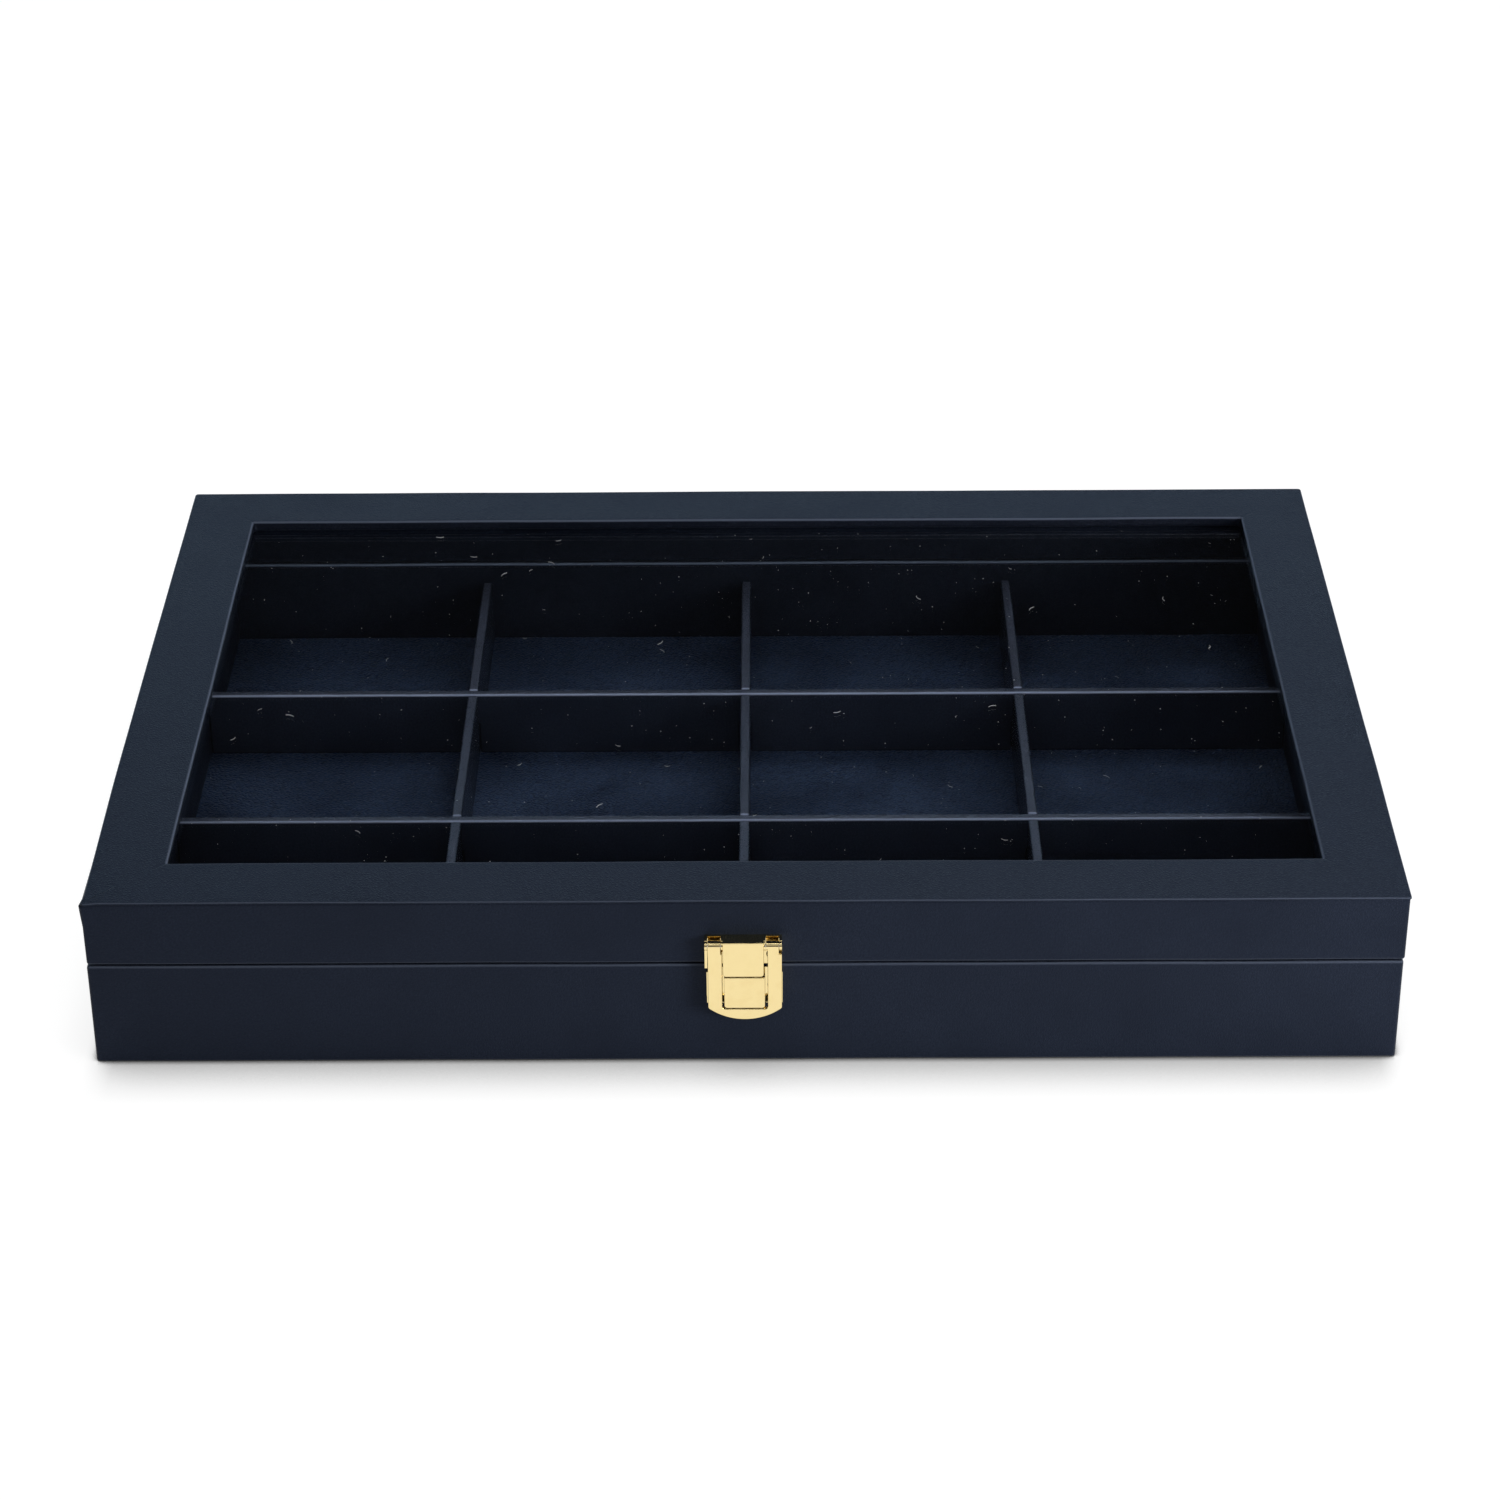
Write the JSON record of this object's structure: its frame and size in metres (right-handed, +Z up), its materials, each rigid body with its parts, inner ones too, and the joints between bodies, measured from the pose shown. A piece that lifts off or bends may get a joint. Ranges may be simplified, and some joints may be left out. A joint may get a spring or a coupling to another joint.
{
  "type": "compartment display case with hinged glass lid",
  "caption": "Low leatherette jewellery case: open tray divided into equal compartments under a hinged lid with a glass window, closed by a small U-frame latch at the front.",
  "frame": {"origin": "on the table under the middle of the closed case, the bottom centre of its bounding box", "axes": "+X left to right along the long side, +Y from the latch towards the hinges, +Z up"},
  "size_m": [0.35, 0.2488, 0.051],
  "materials": {
    "cover": "fine-grained navy leatherette, satin",
    "lining": "fine-grained navy leatherette, satin",
    "divider_cover": "fine-grained navy leatherette, satin",
    "strip": "navy leatherette over card",
    "board": "raw fibreboard, hidden by the cover",
    "underside": "dark pressed felt",
    "glass": "clear float glass",
    "gilt": "polished gold plating",
    "latch_screw": "gold plated",
    "latch_pin": "drawn steel",
    "hinge": "satin gold plating",
    "hinge_pin": "drawn steel",
    "hinge_screw": "gold plated"
  },
  "bodies": {
    "base": {"base_front_board": "board", "base_back_board": "board", "base_left_board": "board", "base_right_board": "board", "base_bottom_board": "board", "base_cover": "cover", "floor_lining": "lining", "wall_lining_front": "lining", "wall_lining_back": "lining", "wall_lining_left": "lining", "wall_lining_right": "lining", "long_divider_1": "divider_cover", "long_divider_2": "divider_cover", "cross_divider_1": "divider_cover", "cross_divider_2": "divider_cover", "cross_divider_3": "divider_cover", "underside_sheet": "underside", "latch_catch": "gilt", "latch_catch_screws": "latch_screw", "hinge_left_base_leaf": "hinge", "hinge_right_base_leaf": "hinge", "hinge_left_pin": "hinge_pin", "hinge_right_pin": "hinge_pin", "hinge_base_screws": "hinge_screw"},
    "lid": {"lid_front_board": "board", "lid_back_board": "board", "lid_left_board": "board", "lid_right_board": "board", "lid_top_frame": "board", "lid_cover": "cover", "glass_pane": "glass", "glass_strip_front": "strip", "glass_strip_back": "strip", "glass_strip_left": "strip", "glass_strip_right": "strip", "latch_plate": "gilt", "latch_plate_screws": "latch_screw", "latch_pin": "latch_pin", "hinge_left_lid_leaf": "hinge", "hinge_right_lid_leaf": "hinge", "hinge_lid_screws": "hinge_screw"},
    "hasp": {"latch_hasp": "gilt"}
  },
  "joints": [
    {"name": "lid_hinge", "type": "hinge", "parent": "base", "child": "lid", "pos_m": [0, 0.12154, 0.031], "axis": [-1, 0, 0], "range_deg": [0, 100]},
    {"name": "hasp_hinge", "type": "hinge", "parent": "lid", "child": "hasp", "pos_m": [0, -0.1228, 0.03875], "axis": [-1, 0, 0], "range_deg": [0, 175]}
  ]
}
